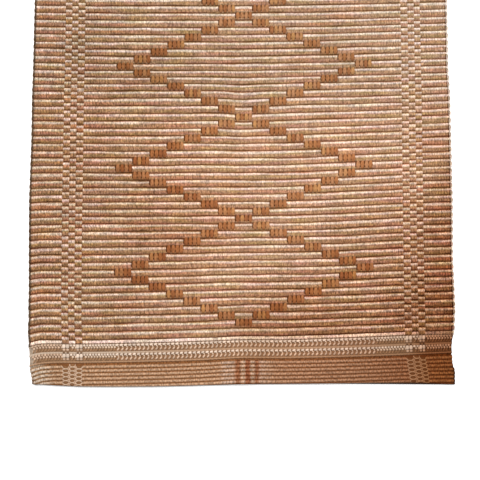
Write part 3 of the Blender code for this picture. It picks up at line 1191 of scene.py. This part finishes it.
# %% Beads and strokes of the heading
BEADS_AT = (45.3, 58.3)  # millimetres from the folded edge
TIP, FOOT = -3.6, -8.2  # from there to the tip and to the foot
DIM_ZONES = (0, 10)  # the margins, where the stitches are no lighter than the ribs
WIDE_STRAND = 5  # a wider strand than this has an arrowhead, and a narrower one two small beads
CREAM_STITCH, TAN_STITCH, DARK_STITCH, BROWN_STITCH, WARM_STITCH = range(5)
bead_mesh = drawn_out(8, 5)
stroke_mesh = drawn_out(6, 5)
beads, strokes = bmesh.new(), bmesh.new()


def stitch(shape, mesh, start, end, half_width, height, thick, material):
    """A small stitch from one place on the flat rug to another."""
    start, end = Vector(start), Vector(end)
    middle, half = (start + end) / 2, (end - start) / 2
    aside = Vector((half.y, -half.x)).normalized() * half_width

    def place(co):
        flat = middle + co.x * aside + co.y * half
        return flat.x, flat.y, height + co.z * thick

    add_copy(shape, mesh, place, material)


# %% Stitches of one strand
def one_strand(across, width, swapped, bead_at, far_end, dim):
    """The bead and the strokes of one strand, which are turned round at the far end."""

    def at(aside, along):
        return across + aside * width, LENGTH - bead_at - along if far_end else bead_at + along

    def bead(start, end, share, height, thick, material):
        stitch(beads, bead_mesh, at(*start), at(*end), share * width, height, thick, material)

    def stroke(start, end, share, height, thick, material):
        stitch(strokes, stroke_mesh, at(*start), at(*end), share * width, height, thick, material)

    if swapped:
        bead((0, 1.6), (0, -4.2), 0.50, 4.6, 0.95, CREAM_STITCH)
        bead((0, 4.0), (0, 2.0), 0.38, 4.3, 0.8, DARK_STITCH)
        stroke((0, -4.4), (0, -7.6), 0.44, 4.2, 0.8, TAN_STITCH)
        return
    light, warm = (TAN_STITCH, TAN_STITCH) if dim else (CREAM_STITCH, WARM_STITCH)
    bead((-0.06, 1.5), (0.06, -1.4), 0.42, 4.5, 0.95, light)
    if width > WIDE_STRAND:
        stroke((0.08, -0.6), (0.5, TIP), 0.15, 4.2, 0.8, WARM_STITCH)
        stroke((0.50, TIP - 0.3), (0.0, FOOT + 0.4), 0.25, 4.3, 0.9, TAN_STITCH)
        return
    stroke((0.08, -0.6), (0.45, -2.4), 0.18, 4.2, 0.8, warm)
    bead((0.46, -1.5), (0.54, -4.3), 0.38, 4.4, 0.9, warm)
    stroke((0.5, -4.2), (0.05, FOOT), 0.24, 4.1, 0.8, BROWN_STITCH)


# %% Set the stitches of both headings
random.seed(11)
for far_end in (False, True):
    for bead_at in BEADS_AT:
        for index, zone in enumerate(ZONES[:-1]):
            width = (ZONES[index + 1].start - zone.start) / zone.strands
            for strand in range(zone.strands):
                across = zone.start + (strand + 0.5) * width
                if abs(across) < HALF_WIDTH - 3:
                    one_strand(across, width, zone.swapped, bead_at, far_end, index in DIM_ZONES)
lay_down(beads)
lay_down(strokes)
print("heading faces", len(beads.faces) + len(strokes.faces))


# %% Bead and stroke yarns
def plain_yarn(name, color, tint=tinted_end):
    material, tree, surface = new_cotton(name)
    shade = ease(tree, own_shade(tree), 0.0, 1.0, 0.84, 1.12)
    # the default tint paints the heading's shade towards the right selvedge
    feed(tree, surface.inputs["Base Color"], tint(tree, shaded(tree, color, shade)))
    bumped(tree, surface, cloudy(tree, 1200.0, 1.0), 0.0002)
    return material


stitch_yarns = (
    plain_yarn("cream_stitches", (0.68, 0.53, 0.42)),
    plain_yarn("tan_stitches", (0.56, 0.38, 0.265)),
    plain_yarn("dark_stitches", (0.155, 0.082, 0.044)),
    plain_yarn("brown_stitches", (0.34, 0.19, 0.10)),
    plain_yarn("warm_stitches", (0.62, 0.45, 0.325)),
)
heading_beads = finished("heading_beads", beads, *stitch_yarns)
heading_strokes = finished("heading_strokes", strokes, *stitch_yarns)
for piece in (heading_beads, heading_strokes):
    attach(piece, "root")

# %% [markdown]
# ## The selvedges
# At each side the cream weft turns round the outermost warp and goes back. The turns show as a small loop
# beside each tan pick. A loop is a little ring of yarn spun through half a circle, copied once for each
# rib. The loops on the left are painted dark, as shade.

# %% Turns of the weft
def half_ring():
    """Half a ring of yarn with a radius of 1, which bulges towards +X."""
    shape = bmesh.new()
    upright = Matrix.Translation((0, -1, 0)) @ Matrix.Rotation(math.radians(90), 4, "Y")
    ring = bmesh.ops.create_circle(shape, segments=6, radius=0.22, matrix=upright)
    geometry = ring["verts"] + shape.edges[:]
    bmesh.ops.spin(shape, geom=geometry, cent=(0, 0, 0), axis=(0, 0, 1), angle=math.pi, steps=6)
    bmesh.ops.holes_fill(shape, edges=[edge for edge in shape.edges if edge.is_boundary], sides=0)
    bmesh.ops.recalc_face_normals(shape, faces=shape.faces[:])
    return mesh_to_copy(shape, "turn")


# %% One turn beside each rib, on both sides
TURN_ROOT, TURN_HEIGHT = 297.6, 3.6
LEFT, RIGHT = -1, 1
TURN_REACH = {LEFT: 2.2, RIGHT: 2.7}
turn_mesh = half_ring()
turns = bmesh.new()
for rib in range(RIBS):
    for side in (LEFT, RIGHT):

        def place(co):
            out = TURN_ROOT + TURN_REACH[side] * co.x
            return side * out, along_of(rib + 0.27 + 0.40 * co.y), TURN_HEIGHT + co.z * 4.0

        # the left turns take the second yarn, which paints their shade
        add_copy(turns, turn_mesh, place, int(side == LEFT))
lay_down(turns)
bmesh.ops.recalc_face_normals(turns, faces=turns.faces[:])
print("turn faces", len(turns.faces))
turn_yarns = (
    plain_yarn("right_turns", (0.66, 0.53, 0.44), clouded),
    # the same cream weft, painted dark as shade on the left
    plain_yarn("shaded_left_turns", (0.20, 0.135, 0.09), clouded),
)
selvedge_turns = finished("selvedge_turns", turns, *turn_yarns)
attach(selvedge_turns, "root")

# %% [markdown]
# ## The rug and its pieces
# The rug was cut 600 mm wide, and long enough for two hems that turn under. It lies on the floor. The
# stitches and floats are named as pieces on it.

# %% [markdown]
# ## Floor and light
# The floor is plain and almost white. One large soft lamp stands beyond the top of the picture, so the
# far side of each rib is bright and the near side is in shade. A pale sky fills the rest.

# %% Floor
floor_shape = bmesh.new()
bmesh.ops.create_grid(floor_shape, x_segments=1, y_segments=1, size=6.0)
floor_paint = bpy.data.materials.new("pale_floor")
floor_paint.use_nodes = True
paint = floor_paint.node_tree.nodes["Principled BSDF"]
paint.inputs["Base Color"].default_value = (0.93, 0.93, 0.93, 1)
paint.inputs["Roughness"].default_value = 0.9
paint.inputs["Specular IOR Level"].default_value = 0.1
paint.inputs["Emission Color"].default_value = (1.0, 1.0, 1.0, 1)
paint.inputs["Emission Strength"].default_value = 0.25
floor = finished("floor", floor_shape, floor_paint)
floor.data.transform(Matrix.Translation((0, 0, -0.5 * MM)))


# %% Lamp and sky
def soft_lamp(name, place, aim, size, power):
    light = bpy.data.lights.new(name, "AREA")
    light.size = size
    light.energy = power
    lamp = bpy.data.objects.new(name, light)
    bpy.context.scene.collection.objects.link(lamp)
    lamp.location = place
    lamp.rotation_euler = (Vector(aim) - Vector(place)).to_track_quat("-Z", "Y").to_euler()


soft_lamp("key", (-0.05, 0.55, 2.3), (0.0, -0.45, 0.0), 0.9, 84)
sky = bpy.data.worlds.new("sky")
bpy.context.scene.world = sky
sky.use_nodes = True
sky.node_tree.nodes["Background"].inputs["Color"].default_value = (1.0, 1.0, 1.0, 1)
sky.node_tree.nodes["Background"].inputs["Strength"].default_value = 0.465
bpy.context.scene.view_settings.view_transform = "Standard"
